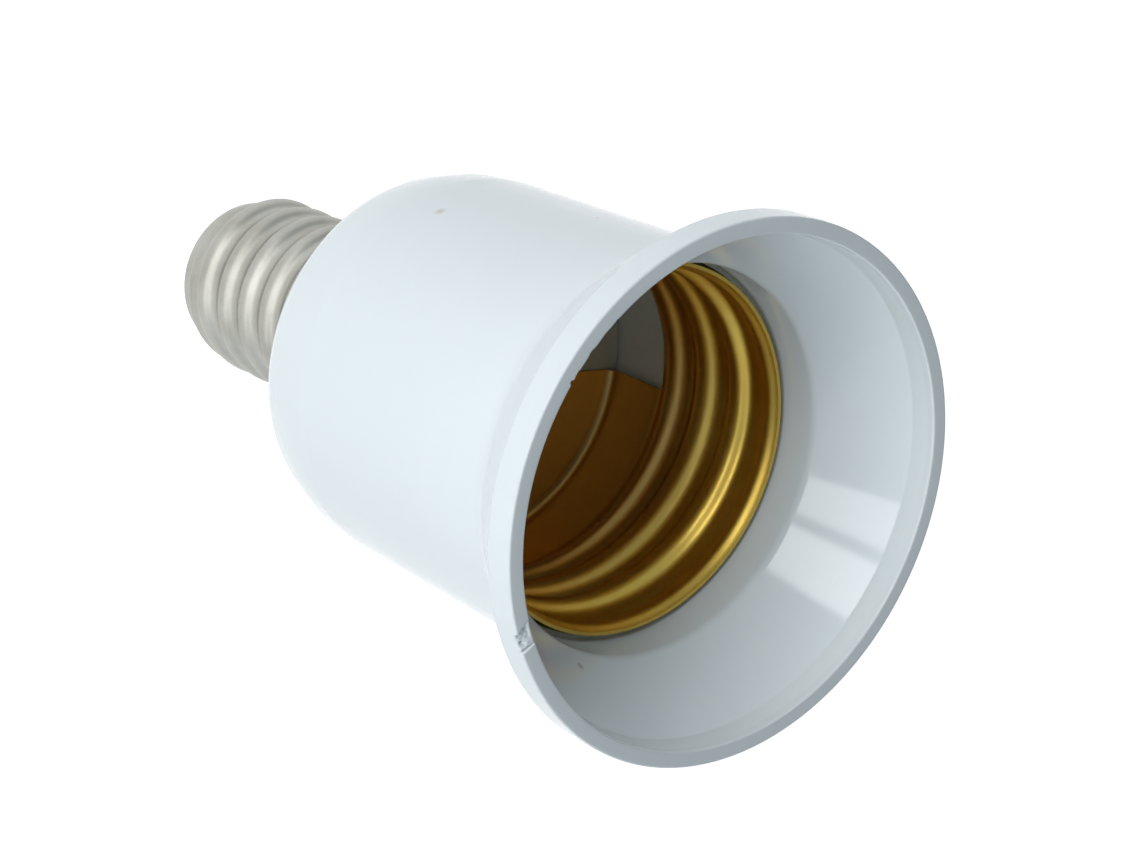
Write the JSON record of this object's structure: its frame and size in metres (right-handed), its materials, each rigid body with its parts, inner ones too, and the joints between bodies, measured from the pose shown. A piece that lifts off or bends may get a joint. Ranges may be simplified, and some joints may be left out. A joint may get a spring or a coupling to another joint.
{
  "type": "lamp socket adapter",
  "caption": "White bell-shaped adapter: a small screw cap below lets a holder for small lamps take a lamp with a large screw cap.",
  "frame": {"origin": "lowest point of the tip contact, on the common axis of the two screw threads", "axes": "+Z along the screw axis from the tip contact to the lamp mouth; -Y faces the picture's camera; +X to its right"},
  "size_m": [0.0384, 0.0384, 0.0612],
  "materials": {
    "white_plastic": "glossy moulded",
    "gold_metal": "bright rolled",
    "nickel_metal": "nickel plated",
    "carrier_plastic": "moulded",
    "spring_bronze": "satin",
    "rivet_brass": "satin",
    "tinned_brass": "tinned",
    "copper": "bare wire",
    "sleeve_plastic": "extruded",
    "solder": "soft solder",
    "tip_brass": "nickel plated"
  },
  "bodies": {
    "adapter": {"housing": "white_plastic", "lamp_screw_shell": "gold_metal", "base_screw_shell": "nickel_metal", "contact_carrier": "carrier_plastic", "centre_rivet": "rivet_brass", "centre_lug": "tinned_brass", "centre_lead": "copper", "centre_lead_sleeve": "sleeve_plastic", "shell_lead": "copper", "shell_lead_sleeve": "sleeve_plastic", "centre_lug_solder": "solder", "shell_tab_solder": "solder", "tip_eyelet": "tip_brass", "tip_solder": "solder"},
    "contact_leaf": {"centre_contact": "spring_bronze"}
  },
  "joints": [
    {"name": "contact_flex", "type": "hinge", "parent": "adapter", "child": "contact_leaf", "pos_m": [-0.0045, 0, 0.03335], "axis": [0, 1, 0], "range_deg": [0, 8], "stiffness_Nm_per_rad": 0.3}
  ]
}
